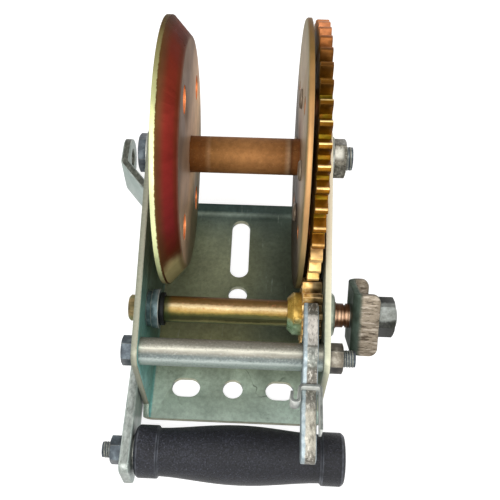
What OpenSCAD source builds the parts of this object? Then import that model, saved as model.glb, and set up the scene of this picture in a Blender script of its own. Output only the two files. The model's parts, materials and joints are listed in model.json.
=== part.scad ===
// Hand winch with spur gears: a bent channel frame, a geared drum on a bolt,
// a drive shaft with pinion and crank bracket, a ratchet pawl on the spacer
// tube, and the crank taken off and laid along the left side.
// Millimetres. X runs along the shafts to the right, Y to the rear, Z up.
// The origin is the middle of the base's underside.

/* [Frame] */
// Length of the flat base plate
base_l = 138; // [130:1:160]
// Width over both side plates
frame_w = 95; // [93:0.5:110]
// Thickness of the frame sheet
plate_t = 3; // [2.5:0.25:3.5]
// Outside radius of the two long bends
bend_r = 5; // [4:0.5:6]
// Step from the base's ends to the side plates
tongue_y = 6; // [4:0.5:8]
// Length of the lip at the rear of the base
lip_l = 7; // [4:0.5:10]
// Angle of the rear lip
lip_deg = 24; // [10:1:35]
// Width of the bolt holes and slots in the base
hole_d = 11; // [9:0.5:12]
// Whole length of the two front slots
front_slot_l = 15.5; // [13:0.5:18]
// Distance of the front slots from the middle
front_slot_x = 25.8; // [22:0.1:28]
// Distance of the front row from the front edge
front_row = 18.6; // [14:0.1:22]
// Whole length of the long rear slot
long_slot_l = 41.5; // [30:0.5:46]
// Web left between the long slot and the hole in front of it
slot_web = 6.5; // [5:0.5:9]
// Distance from the long slot to the rear edge
slot_rear = 5.7; // [4.5:0.1:9]

/* [Drum] */
// Height of the drum axle above the base, for a standard flange
axle_z = 81.2; // [78:0.1:92]
// Distance of the drum axle behind the middle, for a standard flange
axle_y = 49.4; // [46:0.1:52]
// Outside radius of the flanges
flange_r = 69; // [66:0.5:72]
// Radius of the flat part of the dished flange
flat_r = 59; // [54:0.5:61]
// Depth of the dished rim
dish_h = 9; // [5:0.1:10]
// Width of the dished rim's cut edge along the axle
rim_w = 3; // [2.8:0.1:5]
// Thickness of the flange sheet
flange_t = 2.8; // [2:0.1:3]
// Where the left flange's inner face stands in a standard frame
left_face_x = -26; // [-29:0.5:-24]
// Where the right flange's inner face stands in a standard frame
right_face_x = 30.8; // [28:0.1:31]
// Outside diameter of the core tube
core_d = 19; // [17:0.5:22]
// Bore of the core tube
core_bore = 15; // [14:0.1:15.5]
// Diameter of the axle bolt
axle_d = 12; // [11:0.5:12]
// Diameter of the holes in the left flange
relief_d = 13.6; // [8:0.1:15]
// Diameter of the holes in the right flange
right_relief_d = 9; // [6:0.1:12]
// Radius of the ring of flange holes
relief_ring = 44; // [40:0.5:46]

/* [Gears] */
// Tooth module
tooth_m = 3; // [2.9:0.05:3.05]
// Teeth on the drum gear, for a standard flange
gear_n = 44; // [42:1:46]
// Teeth on the pinion
pinion_n = 11; // [10:1:11]
// Width of the drum gear
gear_w = 6; // [4:0.5:6]
// Gap between the right flange and the gear
gear_gap = 2.4; // [1.5:0.1:2.5]
// Angle of the line of centres below level
mesh_deg = 24.1; // [20:0.1:28]

/* [Drive shaft] */
// Shaft diameter
shaft_d = 13.6; // [13:0.1:14]
// Diameter of the threaded right end
thread_d = 11.8; // [10:0.1:11.8]
// Radius of the collar beside the pinion
collar_r = 11; // [9.5:0.1:11.5]
// Length of the collar
collar_l = 7; // [5:0.5:8]
// How far the shaft stands out on the left
stub_l = 6.4; // [5:0.1:9]
// Length of the neck right of the frame
neck_l = 7.7; // [6.5:0.1:11]
// Diameter of that neck
neck_d = 12.4; // [12:0.1:13]
// Across the bracket's two legs
bracket_w = 33; // [32.5:0.5:36]
// Width of each bracket leg
bracket_h = 31.5; // [28:0.1:36]
// Reach of the legs along the shaft
bracket_reach = 13; // [9:0.1:14]
// Thickness of the bracket steel
bracket_t = 3.4; // [2.8:0.1:4]
// Turn of the bracket about the shaft
bracket_deg = 46; // [0:1:90]

/* [Pawl] */
// Distance from the drive shaft to the spacer tube
pawl_reach = 29.5; // [29.5:0.1:31]
// Angle of that distance above level
pawl_deg = 16.2; // [12:0.1:20]
// Outside diameter of the spacer tube
spacer_d = 13.6; // [12:0.1:13.8]
// Radius of the pawl's hub
pawl_hub_r = 9.9; // [9.4:0.1:9.9]
// Thickness of the pawl
pawl_t = 7.3; // [4:0.1:7.4]
// Where the pawl's left face stands in a standard frame
pawl_x = 34.4; // [34:0.1:34.6]
// Length of the thumb lever from the pivot
lever_l = 49; // [44:0.5:54]
// Height of the thumb lever
lever_h = 9; // [8:0.5:10]

/* [Crank] */
// Width of the crank bar
arm_w = 25; // [22:0.5:26]
// Thickness of the crank bar
arm_t = 5; // [4:0.25:5.5]
// Distance from the grip's axis to the shaft hole
crank_l = 192; // [180:1:210]
// Side step of the crank bar
jog_x = 23; // [18:0.5:26]
// Length of the grip
grip_l = 105; // [95:1:115]
// Radius of the grip's end collars
grip_end_r = 13.4; // [12:0.1:14]
// Radius of the grip's neck
grip_neck_r = 12.1; // [11:0.1:13]
// Radius of the grip's bulged middle
grip_mid_r = 15; // [13:0.1:15.5]
// Diameter of the grip bolt
grip_bolt_d = 8; // [6:0.5:8]
// Distance of the grip's axis in front of the base
grip_front = 22.4; // [20:0.1:26]

/* [Hidden] */
$fn = 72;
fit = 0.06;
seat = 0.3;
tiny = 0.01;

// Standard frame width and flange radius, which the places above are set out for
standard_w = 95;
standard_r = 69;

// Frame planes
half_w = frame_w / 2;
inner_x = half_w - plate_t;
front_y = -base_l / 2;
rear_y = base_l / 2;
tongue_w = frame_w - 2 * bend_r;
row_y = front_y + front_row;
long_slot_y = rear_y - slot_rear - long_slot_l / 2;
mid_hole_y = long_slot_y - long_slot_l / 2 - slot_web - hole_d / 2;

// Pieces beside the side plates move with them
side_shift = (frame_w - standard_w) / 2;
left_x = left_face_x - side_shift;
right_x = right_face_x + side_shift;
pawl_left = pawl_x + side_shift;

// Gear pair: a larger flange gets a gear with more teeth, so that the collar stays clear of it
teeth_n = gear_n + ceil(2 * (flange_r - standard_r) / tooth_m - 0.001);
gear_r = tooth_m * teeth_n / 2;
pinion_r = tooth_m * pinion_n / 2;
centre_d = gear_r + pinion_r;
spread = (teeth_n - gear_n) * tooth_m / 2;
addendum = 0.75 * tooth_m;
dedendum = 1.1 * tooth_m;
pressure_deg = 25;
backlash = 0.22;
gear_x = right_x + flange_t + gear_gap;
pinion_x0 = right_x + flange_t + 0.6;
pinion_x1 = inner_x - 0.6;

// Axes of the shafts
drum_y = axle_y + spread / 2 * cos(mesh_deg);
drum_z = axle_z + flange_r - standard_r;
drive_y = drum_y - centre_d * cos(mesh_deg);
drive_z = drum_z - centre_d * sin(mesh_deg);
pivot_y = drive_y - pawl_reach * cos(pawl_deg);
pivot_z = drive_z + pawl_reach * sin(pawl_deg);
front_lug_r = 8.8;
axle_lug_r = 13.6;
// How far inside the round lugs the straight plate edges end
lug_sink = 0.05;
toe_h = 8;
toe_front = 1;

// Bushes and washers
bush_wall = 1.8;
bush_r = shaft_d / 2 + bush_wall;
left_bush_boss_r = 9.2;
left_bush_boss_t = 2.7;
left_bush_flange_r = 10.2;
left_bush_flange_t = 6.4;
right_bush_flange_r = 11.2;
right_bush_flange_t = 3.5;
washer_r = 8.6;
washer_t = 2.3;
clip_r = shaft_d / 2 + 1.9;
clip_t = 1.2;
clip_groove = 1.1;
pin_r = 1.6;
drum_bush_flange_r = 10.5;
drum_bush_flange_t = 1.3;
drum_bush_l = 20;
core_end_x = inner_x - 0.5 - drum_bush_flange_t;
rivet_r = 3;
rivet_head_r = 5;
rivet_head_t = 1.6;
rivet_ring = 30;
rivet_n = 4;
relief_n = 4;
left_relief_deg = 6;
right_relief_deg = 8;

// Fasteners: across flats, head and nut heights
axle_af = 18;
axle_head = 4.2;
axle_nut_h = 6.4;
axle_washer_t = 1.2;
axle_washer_r = 11;
axle_tail = 3.6;
spacer_bolt_d = 8;
small_af = 13;
small_head = 5.4;
small_nut_h = 6.5;
spacer_tail = 6;
bracket_nut_af = 18;
bracket_nut_h = 8.8;
bracket_nut_gap = 0.6;
shaft_tail = 1.2;
grip_washer_t = 1;
grip_washer_r = 8;
grip_tail = 4.4;
grip_head_sink = 7;

// Shaft stations
shaft_x0 = -half_w - stub_l;
neck_x0 = half_w + right_bush_flange_t + seat;
bracket_x0 = neck_x0 + neck_l;
bracket_x1 = bracket_x0 + bracket_reach;
neck_groove_x = 3.4;
neck_groove_h = 0.8;
bracket_bend_r = bracket_t + 2;
bracket_corner_r = 4;
// How much shorter the upper leg of the bracket is
far_leg_cut = 1.8;
shaft_nut_x0 = bracket_x1 + bracket_nut_gap;
shaft_x1 = shaft_nut_x0 + bracket_nut_h + shaft_tail;

// Pawl outline, measured from its pivot
nose_tip = [24.2, 11.7];
nose_top = [15, 13.2];
nose_back = [1, pawl_hub_r];
nose_under = [12.4, 7.4];
step_top = [-8.6, 5.6];
step_front = [-14.5, 2];
lever_top = -2;
lever_drop = 4.6;
lever_end_r = 3.4;
tooth_gap_deg = 26;
clip_sheet = 1.4;
clip_low = -7.5;
clip_leg_y = -37;
clip_tab_gap = 0.4;
clip_tab_l = 8;
clip_hook_w = 3.6;
clip_hook_l = 5;
clip_bend_r = 2.2;
slot_fit = 0.05;

// Crank stations
arm_gap = 0.7;
arm_x1 = -half_w - arm_gap;
arm_x0 = arm_x1 - arm_t;
grip_y = front_y - grip_front;
grip_z = grip_mid_r + 0.3;
grip_x0 = arm_x1 + grip_washer_t + 0.3;
grip_x1 = grip_x0 + grip_l;
tab_y = grip_y + crank_l;
jog_y1 = tab_y - arm_w / 2;
jog_run = 29;
arm_bend_r = 4;
arm_end = 14.5;
arm_corner_r = 5;
tab_hole_r = 6.3;
grip_bore_r = grip_bolt_d / 2 + 0.1;
grip_sink_r = 9;
grip_collar_l = 11.3;
grip_ring = 1.5;

// Helpers: flat outlines in the Y-Z plane pulled along X, and turned bodies

module along_x(x0, x1) {
    translate([x0, 0, 0])
        rotate([90, 0, 90])
            linear_extrude(height = x1 - x0)
                children();
}

module rod(x0, x1, r, y, z) {
    along_x(x0, x1)
        translate([y, z])
            circle(r = r);
}

// A profile of [radius, x] points turned about an axis along X
module turned(profile, y, z) {
    translate([0, y, z])
        rotate([90, 0, 90])
            rotate_extrude()
                polygon(profile);
}

// A hexagon with its corners turned off at one or both ends
module hex_body(x0, x1, af, y, z, left = true, right = true) {
    corner = af / sqrt(3);
    cut = (corner - af / 2) * 0.62;
    low = corner - cut * 1.7;
    intersection() {
        along_x(x0, x1)
            translate([y, z])
                rotate(30)
                    circle(r = corner, $fn = 6);
        turned([
            [0, x0],
            [left ? low : corner + 1, x0],
            [corner + 1, left ? x0 + cut : x0],
            [corner + 1, right ? x1 - cut : x1],
            [right ? low : corner + 1, x1],
            [0, x1]
        ], y, z);
    }
}

// Slot with round ends: whole length l along x, width d
module obround(l, d) {
    square([l - d, d], center = true);
    for (s = [-1, 1])
        translate([s * (l - d) / 2, 0])
            circle(d = d);
}

// Points of an arc about c from angle a0 to a1
function arc(c, r, a0, a1, n = 8) = [
    for (i = [0:n]) c + r * [cos(a0 + (a1 - a0) * i / n), sin(a0 + (a1 - a0) * i / n)]
];

// Involute teeth

// Involute of an angle given in degrees, also in degrees
function inv_deg(a) = tan(a) * 180 / PI - a;

// Half the angle that a tooth takes up at radius r
function half_tooth(r, r_pitch, r_base) =
    (PI * tooth_m / 2 - backlash) / 2 / r_pitch * 180 / PI
    + inv_deg(pressure_deg) - inv_deg(acos(min(1, r_base / r)));

// One flank from root to tip, side = -1 or 1
function flank(r_pitch, side) =
    let (
        r_base = r_pitch * cos(pressure_deg),
        r_root = r_pitch - dedendum,
        r_tip = r_pitch + addendum,
        r_low = max(r_root, r_base),
        steps = 4,
        curve = [
            for (i = [0:steps])
                let (r = r_low + (r_tip - r_low) * i / steps)
                r * [cos(side * half_tooth(r, r_pitch, r_base)),
                     sin(side * half_tooth(r, r_pitch, r_base))]
        ],
        foot = r_root * [cos(side * half_tooth(r_low, r_pitch, r_base)),
                         sin(side * half_tooth(r_low, r_pitch, r_base))]
    )
    r_root < r_low - 0.05 ? concat([foot], curve) : curve;

// All points of one tooth, running from its lower flank over the tip
function tooth(r_pitch) =
    let (up = flank(r_pitch, 1), n = len(up))
    concat(flank(r_pitch, -1), [for (i = [n - 1:-1:0]) up[i]]);

function turn(p, a) = [p[0] * cos(a) - p[1] * sin(a), p[0] * sin(a) + p[1] * cos(a)];

// Outline of a spur gear with a tooth centred on its x axis
module spur(n) {
    polygon([
        for (i = [0:n - 1])
            for (p = tooth(tooth_m * n / 2))
                turn(p, i * 360 / n)
    ]);
}

// A bent strip: centre line through points, thickness t, bends of radius r

function unit(v) = v / norm(v);

// Sign and half angle of the turn at point b
function bend_side(a, b, c) =
    let (u = unit(b - a), v = unit(c - b)) sign(u[0] * v[1] - u[1] * v[0]);

function bend_deg(a, b, c) =
    acos(max(-1, min(1, unit(b - a) * unit(c - b))));

// Points of one side of the strip, off to the left of the path by o
function strip_side(path, r, o) = [
    for (i = [0:len(path) - 1])
        let (
            last = len(path) - 1,
            a = path[max(0, i - 1)],
            b = path[i],
            c = path[min(last, i + 1)],
            dir = i == last ? unit(b - a) : unit(c - b),
            left = [-dir[1], dir[0]]
        )
        for (p = (i == 0 || i == last)
            ? [b + o * left]
            : let (
                u = unit(b - a),
                s = bend_side(a, b, c),
                deg = bend_deg(a, b, c),
                back = r * tan(deg / 2),
                centre = b - back * u + s * r * [-u[1], u[0]],
                start = atan2(-s * u[0], s * u[1])
              )
              arc(centre, r - s * o, start, start + s * deg))
            p
];

module strip(path, r, t) {
    up = strip_side(path, r, t / 2);
    down = strip_side(path, r, -t / 2);
    n = len(down);
    polygon(concat(up, [for (i = [n - 1:-1:0]) down[i]]));
}

// Frame: one bent sheet with its holes

// Section of the channel in the X-Z plane
module channel_section(h) {
    translate([-tongue_w / 2, 0])
        square([tongue_w, plate_t]);
    for (s = [0, 1])
        mirror([s, 0]) {
            translate([inner_x, bend_r])
                square([plate_t, h]);
            intersection() {
                translate([half_w - bend_r, bend_r])
                    difference() {
                        circle(r = bend_r);
                        circle(r = bend_r - plate_t);
                    }
                translate([half_w - bend_r, 0])
                    square([bend_r, bend_r]);
            }
        }
}

// Where a line from p touches the circle of radius r about c, on side 1 or -1
function touch(p, c, r, side) =
    let (
        d = norm(c - p),
        a = atan2(c[1] - p[1], c[0] - p[0]) + side * asin(r / d)
    )
    p + sqrt(d * d - r * r) * [cos(a), sin(a)];

// Side view of a side plate in the Y-Z plane; its straight edges end just inside the round lugs
module side_outline() {
    rise = atan2(drum_z - pivot_z, drum_y - pivot_y);
    span = norm([drum_y - pivot_y, drum_z - pivot_z]);
    front_touch_r = front_lug_r - lug_sink;
    axle_touch_r = axle_lug_r - lug_sink;
    lean = rise + acos((front_touch_r - axle_touch_r) / span);
    out = [cos(lean), sin(lean)];
    pivot = [pivot_y, pivot_z];
    axle = [drum_y, drum_z];
    front_foot = [front_y + tongue_y, toe_h];
    rear_foot = [rear_y - tongue_y, 0];
    polygon([
        [front_y, 0],
        [front_y, plate_t + toe_front],
        front_foot,
        touch(front_foot, pivot, front_touch_r, 1),
        pivot + front_touch_r * out,
        axle + axle_touch_r * out,
        touch(rear_foot, axle, axle_touch_r, -1),
        rear_foot
    ]);
    translate(pivot)
        circle(r = front_lug_r);
    translate(axle)
        circle(r = axle_lug_r);
}

// Rear tongue of the base and its raised lip, in the Y-Z plane
module tongue_outline() {
    reach = lip_l * cos(lip_deg);
    climb = lip_l * sin(lip_deg);
    polygon([
        [rear_y - tongue_y - bend_r, 0],
        [rear_y, 0],
        [rear_y + reach, climb],
        [rear_y + reach - plate_t * sin(lip_deg), climb + plate_t * cos(lip_deg)],
        [rear_y - plate_t * tan(lip_deg / 2), plate_t],
        [rear_y - tongue_y - bend_r, plate_t]
    ]);
}

module base_holes() {
    for (s = [-1, 1])
        translate([s * front_slot_x, row_y])
            obround(front_slot_l, hole_d);
    for (y = [row_y, mid_hole_y])
        translate([0, y])
            circle(d = hole_d);
    translate([0, long_slot_y])
        rotate(90)
            obround(long_slot_l, hole_d);
}

module frame() {
    color("LightSlateGray")
    difference() {
        union() {
            intersection() {
                rotate([90, 0, 0])
                    linear_extrude(height = base_l + 2 * axle_lug_r, center = true)
                        channel_section(drum_z + axle_lug_r);
                along_x(-half_w - 1, half_w + 1)
                    side_outline();
            }
            along_x(-tongue_w / 2, tongue_w / 2)
                tongue_outline();
        }
        translate([0, 0, -1])
            linear_extrude(height = plate_t + 2)
                base_holes();
        rod(-half_w - 1, half_w + 1, axle_d / 2 + fit, drum_y, drum_z);
        rod(-half_w - 1, half_w + 1, bush_r, drive_y, drive_z);
        rod(-half_w - 1, half_w + 1, spacer_bolt_d / 2 + fit, pivot_y, pivot_z);
    }
}

module axle_bolt() {
    color("LightSteelBlue") {
        hex_body(-half_w - axle_washer_t - axle_head, -half_w - axle_washer_t, axle_af,
            drum_y, drum_z, right = false);
        rod(-half_w - axle_washer_t - tiny, half_w + axle_washer_t + axle_nut_h + axle_tail, axle_d / 2,
            drum_y, drum_z);
    }
}

module axle_washers() {
    color("Gainsboro")
    for (x0 = [-half_w - axle_washer_t, half_w])
        difference() {
            rod(x0, x0 + axle_washer_t, axle_washer_r, drum_y, drum_z);
            rod(x0 - 1, x0 + axle_washer_t + 1, axle_d / 2, drum_y, drum_z);
        }
}

module axle_nut() {
    x0 = half_w + axle_washer_t;
    color("LightSteelBlue")
    difference() {
        hex_body(x0, x0 + axle_nut_h, axle_af, drum_y, drum_z);
        rod(x0 - 1, x0 + axle_nut_h + 1, axle_d / 2, drum_y, drum_z);
    }
}

module spacer_tube() {
    color("Silver")
    difference() {
        rod(-inner_x, inner_x, spacer_d / 2, pivot_y, pivot_z);
        rod(-inner_x - 1, inner_x + 1, spacer_bolt_d / 2 + 0.5, pivot_y, pivot_z);
    }
}

module spacer_bolt() {
    color("LightSteelBlue") {
        hex_body(-half_w - small_head, -half_w, small_af, pivot_y, pivot_z, right = false);
        rod(-half_w - tiny, half_w + small_nut_h + spacer_tail, spacer_bolt_d / 2,
            pivot_y, pivot_z);
    }
}

module spacer_nut() {
    color("LightSteelBlue")
    difference() {
        hex_body(half_w, half_w + small_nut_h, small_af, pivot_y, pivot_z);
        rod(half_w - 1, half_w + small_nut_h + 1, spacer_bolt_d / 2, pivot_y, pivot_z);
    }
}

// Flanged bushes pressed into the side plates

module left_bush() {
    color("Silver")
        turned([
            [shaft_d / 2 + fit, -half_w],
            [bush_r, -half_w],
            [bush_r, -inner_x],
            [left_bush_boss_r, -inner_x],
            [left_bush_boss_r, -inner_x + left_bush_boss_t],
            [left_bush_flange_r, -inner_x + left_bush_boss_t],
            [left_bush_flange_r, -inner_x + left_bush_flange_t],
            [shaft_d / 2 + fit, -inner_x + left_bush_flange_t]
        ], drive_y, drive_z);
}

module right_bush() {
    color("SlateGray")
        turned([
            [shaft_d / 2 + fit, inner_x],
            [bush_r, inner_x],
            [bush_r, half_w],
            [right_bush_flange_r, half_w],
            [right_bush_flange_r, half_w + right_bush_flange_t - 1],
            [right_bush_flange_r - 1, half_w + right_bush_flange_t],
            [shaft_d / 2 + fit, half_w + right_bush_flange_t]
        ], drive_y, drive_z);
}

// Drum: core tube, two flanges and the gear, welded and riveted together

module drum_core() {
    color("Peru")
    difference() {
        rod(-core_end_x, core_end_x, core_d / 2, drum_y, drum_z);
        rod(-core_end_x - 1, core_end_x + 1, core_bore / 2, drum_y, drum_z);
    }
}

// Ring of holes of diameter d through a flange, starting at angle a
module relief_holes(x0, x1, d, a) {
    for (i = [0:relief_n - 1])
        rod(x0, x1, d / 2,
            drum_y + relief_ring * cos(a + i * 360 / relief_n),
            drum_z + relief_ring * sin(a + i * 360 / relief_n));
}

module left_flange() {
    knee = flange_t * tan(atan2(dish_h, flange_r - flat_r) / 2);
    color("DarkKhaki")
    difference() {
        turned([
            [core_d / 2, left_x],
            [flat_r, left_x],
            [flange_r, left_x - dish_h],
            [flange_r, left_x - dish_h - rim_w],
            [flat_r - knee, left_x - flange_t],
            [core_d / 2, left_x - flange_t]
        ], drum_y, drum_z);
        relief_holes(left_x - flange_t - 1, left_x + 1, relief_d, left_relief_deg);
    }
}

// Places of the rivets that tie the gear to the right flange
module at_rivets() {
    for (i = [0:rivet_n - 1]) {
        a = right_relief_deg + (i + 0.5) * 360 / rivet_n;
        translate([0, drum_y + rivet_ring * cos(a), drum_z + rivet_ring * sin(a)])
            children();
    }
}

module right_flange() {
    x1 = right_x + flange_t;
    color("DarkKhaki")
    difference() {
        turned([
            [core_d / 2, right_x],
            [flange_r - 0.8, right_x],
            [flange_r, right_x + 0.8],
            [flange_r, x1],
            [core_d / 2, x1]
        ], drum_y, drum_z);
        relief_holes(right_x - 1, x1 + 1, right_relief_d, right_relief_deg);
        at_rivets()
            rod(right_x - 1, x1 + 1, rivet_r, 0, 0);
    }
}

module drum_gear() {
    color("Goldenrod")
    difference() {
        along_x(gear_x, gear_x + gear_w)
            translate([drum_y, drum_z])
                rotate(180 + mesh_deg + 180 / teeth_n)
                    spur(teeth_n);
        rod(gear_x - 1, gear_x + gear_w + 1, core_d / 2, drum_y, drum_z);
        at_rivets()
            rod(gear_x - 1, gear_x + gear_w + 1, rivet_r, 0, 0);
    }
}

// Rivets with a shoulder that keeps the gear off the flange
module gear_rivets() {
    x1 = right_x + flange_t;
    x2 = gear_x + gear_w;
    color("Peru")
        at_rivets()
            turned([
                [0, right_x - rivet_head_t],
                [rivet_head_r - 1, right_x - rivet_head_t],
                [rivet_head_r, right_x - rivet_head_t + 0.8],
                [rivet_head_r, right_x],
                [rivet_r, right_x],
                [rivet_r, x1],
                [rivet_head_r, x1],
                [rivet_head_r, gear_x],
                [rivet_r, gear_x],
                [rivet_r, x2],
                [0, x2]
            ], 0, 0);
}

// Flanged bushes in both ends of the core, running on the axle bolt
module drum_bushes() {
    color("Black")
    for (s = [0, 1])
        mirror([s, 0, 0])
            turned([
                [axle_d / 2 + fit, core_end_x - drum_bush_l],
                [core_bore / 2, core_end_x - drum_bush_l],
                [core_bore / 2, core_end_x],
                [drum_bush_flange_r, core_end_x],
                [drum_bush_flange_r, core_end_x + drum_bush_flange_t],
                [axle_d / 2 + fit, core_end_x + drum_bush_flange_t]
            ], drum_y, drum_z);
}

// Drive shaft and everything that turns with it

module drive_shaft() {
    groove = -half_w - seat - clip_t;
    color("Gold")
    difference() {
        turned([
            [0, shaft_x0],
            [shaft_d / 2 - 1, shaft_x0],
            [shaft_d / 2, shaft_x0 + 1],
            [shaft_d / 2, groove],
            [shaft_d / 2 - clip_groove, groove],
            [shaft_d / 2 - clip_groove, groove + clip_t],
            [shaft_d / 2, groove + clip_t],
            [shaft_d / 2, neck_x0 + 0.6],
            [neck_d / 2, neck_x0 + 1],
            [neck_d / 2, bracket_x0 - neck_groove_x],
            [neck_d / 2 - neck_groove_h, bracket_x0 - neck_groove_x + 0.4],
            [neck_d / 2 - neck_groove_h, bracket_x0 - neck_groove_x + 1],
            [neck_d / 2, bracket_x0 - neck_groove_x + 1.4],
            [neck_d / 2, bracket_x0],
            [thread_d / 2, bracket_x0],
            [thread_d / 2, shaft_x1 - 1],
            [thread_d / 2 - 1, shaft_x1],
            [0, shaft_x1]
        ], drive_y, drive_z);
        collar_pin_rod(1);
    }
}

module pinion() {
    color("Peru")
    difference() {
        along_x(pinion_x0, pinion_x1)
            translate([drive_y, drive_z])
                rotate(mesh_deg)
                    spur(pinion_n);
        rod(pinion_x0 - 1, pinion_x1 + 1, shaft_d / 2, drive_y, drive_z);
    }
}

// Collar with a long chamfer on its left, pinned to the shaft
module pinion_collar() {
    chamfer = 3;
    color("DarkSeaGreen")
    difference() {
        turned([
            [shaft_d / 2, pinion_x0 - collar_l],
            [collar_r - chamfer, pinion_x0 - collar_l],
            [collar_r, pinion_x0 - collar_l + chamfer],
            [collar_r, pinion_x0],
            [shaft_d / 2, pinion_x0]
        ], drive_y, drive_z);
        collar_pin_rod(1);
    }
}

// Pin across collar and shaft, over by extra at each end
module collar_pin_rod(extra) {
    translate([pinion_x0 - 2.2, drive_y, drive_z])
        rotate([bracket_deg, 0, 0])
            cylinder(r = pin_r, h = 2 * (collar_r - 0.4 + extra), center = true);
}

module collar_pin() {
    color("DimGray")
        collar_pin_rod(0);
}

module thrust_washer() {
    x0 = -inner_x + left_bush_flange_t + seat;
    color("Black")
    difference() {
        rod(x0, x0 + washer_t, washer_r, drive_y, drive_z);
        rod(x0 - 1, x0 + washer_t + 1, shaft_d / 2, drive_y, drive_z);
    }
}

// Spring ring in the groove at the left end of the shaft
module shaft_clip() {
    x0 = -half_w - seat - clip_t;
    mouth = 6;
    color("DimGray")
    difference() {
        rod(x0, x0 + clip_t, clip_r, drive_y, drive_z);
        rod(x0 - 1, x0 + clip_t + 1, shaft_d / 2 - clip_groove, drive_y, drive_z);
        along_x(x0 - 1, x0 + clip_t + 1)
            translate([drive_y - mouth / 2, drive_z - clip_r - 1])
                square([mouth, clip_r]);
    }
}

// Bent bracket that holds the crank bar between its two legs
module crank_bracket() {
    leg = bracket_w / 2 - bracket_t / 2;
    path = [
        [bracket_x1 - far_leg_cut, -leg],
        [bracket_x0 + bracket_t / 2, -leg],
        [bracket_x0 + bracket_t / 2, leg],
        [bracket_x1, leg]
    ];
    color("DarkSlateGray")
        translate([0, drive_y, drive_z])
            rotate([bracket_deg + 90, 0, 0])
                difference() {
                    linear_extrude(height = bracket_h, center = true)
                        strip(path, bracket_bend_r - bracket_t / 2, bracket_t);
                    rod(bracket_x0 - 1, bracket_x1 + 1, thread_d / 2, 0, 0);
                    for (s = [-1, 1]) {
                        translate([bracket_x1, bracket_w / 2 + 1, s * bracket_h / 2])
                            rotate([90, 0, 0])
                                leg_corner(s);
                        translate([bracket_x1 - far_leg_cut, 0, s * bracket_h / 2])
                            rotate([90, 0, 0])
                                leg_corner(s);
                    }
                }
}

// What is cut away to round the free corner of a bracket leg
module leg_corner(s) {
    linear_extrude(height = bracket_w / 2 + 1)
        translate([-bracket_corner_r, -s * bracket_corner_r])
            difference() {
                translate([0, s > 0 ? 0 : -bracket_corner_r - 1])
                    square([bracket_corner_r + 1, bracket_corner_r + 1]);
                circle(r = bracket_corner_r);
            }
}

module bracket_nut() {
    x1 = shaft_nut_x0 + bracket_nut_h;
    color("LightSteelBlue")
    difference() {
        hex_body(shaft_nut_x0, x1, bracket_nut_af, drive_y, drive_z);
        rod(shaft_nut_x0 - 1, x1 + 1, thread_d / 2, drive_y, drive_z);
    }
}

// Pawl: hub on the spacer tube, nose over the pinion, thumb lever in front

module pawl_outline() {
    end = -lever_l + lever_end_r;
    slope = lever_drop / (lever_l + step_front[0]);
    end_top = lever_top - lever_drop + slope * lever_end_r;
    circle(r = pawl_hub_r);
    polygon(concat(
        [
            [0, 0],
            nose_under,
            nose_tip,
            nose_top,
            nose_back
        ],
        arc([0, 0], pawl_hub_r, 90, 140),
        [step_top, step_front, [step_front[0], lever_top]],
        arc([end, end_top - lever_end_r], lever_end_r, 90, 180, 6),
        arc([end, end_top - lever_h + lever_end_r], lever_end_r, 180, 270, 6),
        [[step_front[0], lever_top - lever_h - 1.5]],
        arc([0, 0], pawl_hub_r, 225, 270)
    ));
}

module pawl() {
    color("LightGray")
        translate([0, pivot_y, pivot_z])
            difference() {
                along_x(pawl_left, pawl_left + pawl_t)
                    pawl_outline();
                rod(pawl_left - 1, pawl_left + pawl_t + 1, spacer_d / 2 + fit, 0, 0);
                translate([pawl_left - 1, step_front[0] - clip_sheet - slot_fit, clip_low - slot_fit])
                    cube([pawl_t + 2, clip_sheet + slot_fit, lever_h + 4]);
            }
}

// Spring clip of flat strip, slotted into the lever, rubbing on the frame
module pawl_clip() {
    y0 = step_front[0] - clip_sheet / 2 - slot_fit;
    left = pawl_left - clip_tab_gap - clip_sheet / 2;
    right = inner_x - 0.4 - clip_sheet / 2;
    path = [
        [left - clip_hook_w, y0 - clip_tab_l + clip_hook_l],
        [left - clip_hook_w, y0 - clip_tab_l],
        [left, y0 - clip_tab_l],
        [left, y0],
        [right, y0],
        [right, clip_leg_y]
    ];
    color("Gainsboro")
        translate([0, pivot_y, pivot_z + clip_low])
            linear_extrude(height = step_front[1] - clip_low)
                strip(path, clip_bend_r - clip_sheet / 2, clip_sheet);
}

// Crank, taken off: bent bar on edge along the left side, grip in front

// Side view of the bar: square with round corners at the grip, round at the shaft hole
module arm_outline() {
    low = arm_w / 2 - arm_corner_r;
    translate([-arm_end, -low])
        square([arm_end + crank_l, 2 * low]);
    translate([-arm_end + arm_corner_r, -arm_w / 2])
        square([arm_end - arm_corner_r + crank_l, arm_w]);
    for (s = [-1, 1])
        translate([-arm_end + arm_corner_r, s * low])
            circle(r = arm_corner_r);
    translate([crank_l, 0])
        circle(d = arm_w);
}

module crank_arm() {
    mid = arm_x0 + arm_t / 2;
    path = [
        [mid, grip_y - arm_end],
        [mid, jog_y1 - jog_run],
        [mid - jog_x, jog_y1],
        [mid - jog_x, tab_y + arm_w / 2]
    ];
    x0 = arm_x0 - jog_x - 1;
    color("Silver")
    difference() {
        intersection() {
            translate([0, 0, grip_z - arm_w / 2])
                linear_extrude(height = arm_w)
                    strip(path, arm_bend_r, arm_t);
            along_x(x0, arm_x1 + 1)
                translate([grip_y, grip_z])
                    arm_outline();
        }
        rod(x0, arm_x1 + 1, grip_bolt_d / 2, grip_y, grip_z);
        rod(x0, arm_x1 + 1, tab_hole_r, tab_y, grip_z);
    }
}

module grip_bolt() {
    head_x = grip_x1 - grip_head_sink;
    color("LightSteelBlue") {
        rod(arm_x0 - small_nut_h - grip_tail, head_x + tiny, grip_bolt_d / 2, grip_y, grip_z);
        hex_body(head_x, head_x + small_head, small_af, grip_y, grip_z, left = false);
    }
}

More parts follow.
